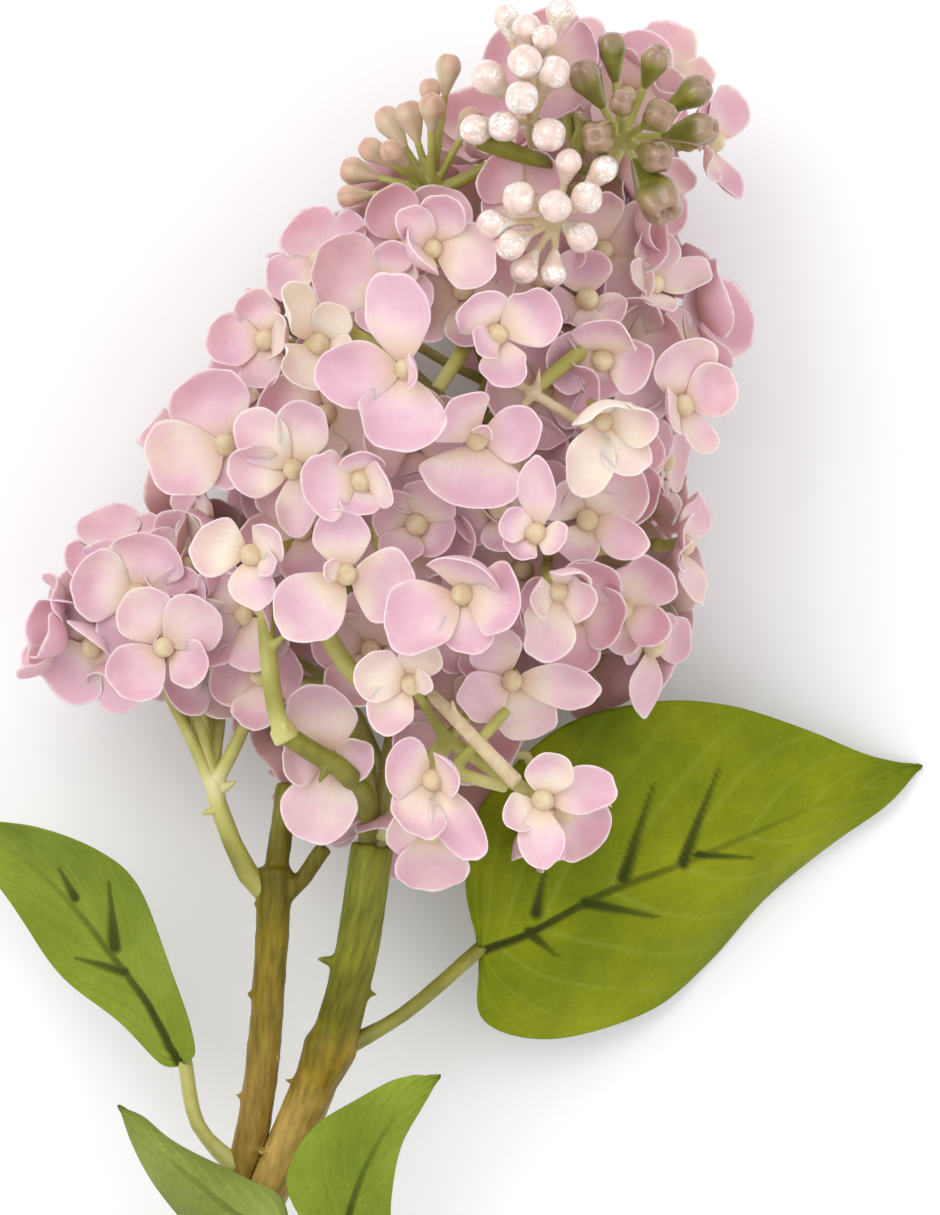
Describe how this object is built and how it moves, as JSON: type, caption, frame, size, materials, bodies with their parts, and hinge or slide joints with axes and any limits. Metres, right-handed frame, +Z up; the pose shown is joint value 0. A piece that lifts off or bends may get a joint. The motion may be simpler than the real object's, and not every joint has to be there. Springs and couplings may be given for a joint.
{
  "type": "artificial cut hydrangea stem",
  "caption": "Lying flower stem: a cone of four-petalled florets, a small side cluster, sprays of closed buds and broad pointed leaves on a forked stem cut plain at its end.",
  "frame": {"origin": "centre of the bounding box on the surface that the stem lies on", "axes": "+Y along the stem from its cut end to the head's tip, +Z up from the surface towards the flowers that show"},
  "size_m": [0.202, 0.3666, 0.101],
  "materials": {
    "petals": "soft satin",
    "buds": "pearly",
    "stalks": "satin",
    "stems": "satin",
    "leaves": "matt printed"
  },
  "bodies": {
    "root": {"buds_green": "buds", "buds_left": "buds", "buds_pearl_lower": "buds", "buds_pearl_upper": "buds", "floret_01": "petals", "floret_02": "petals", "floret_03": "petals", "floret_04": "petals", "floret_05": "petals", "floret_06": "petals", "floret_07": "petals", "floret_08": "petals", "floret_09": "petals", "floret_10": "petals", "floret_11": "petals", "floret_12": "petals", "floret_13": "petals", "floret_14": "petals", "floret_15": "petals", "floret_16": "petals", "floret_17": "petals", "floret_18": "petals", "floret_19": "petals", "floret_20": "petals", "floret_21": "petals", "floret_22": "petals", "floret_23": "petals", "floret_24": "petals", "floret_25": "petals", "floret_26": "petals", "floret_27": "petals", "floret_28": "petals", "floret_29": "petals", "floret_30": "petals", "floret_31": "petals", "floret_32": "petals", "floret_33": "petals", "floret_34": "petals", "floret_35": "petals", "head_axis": "stalks", "head_stem": "stems", "leaf_front_left": "leaves", "leaf_front_right": "leaves", "leaf_left": "leaves", "leaf_right": "leaves", "main_stem": "stems", "side_stalk": "stalks", "side_stem": "stems", "stalk_back_low": "stalks", "stalk_back_middle": "stalks", "stalk_back_top": "stalks", "stalk_left": "stalks", "stalk_lower_front": "stalks", "stalk_lower_left": "stalks", "stalk_middle": "stalks", "stalk_right": "stalks", "stalk_tip": "stalks", "stalk_upper_front": "stalks", "stalk_upper_left": "stalks", "stalk_upper_right": "stalks"}
  },
  "joints": []
}
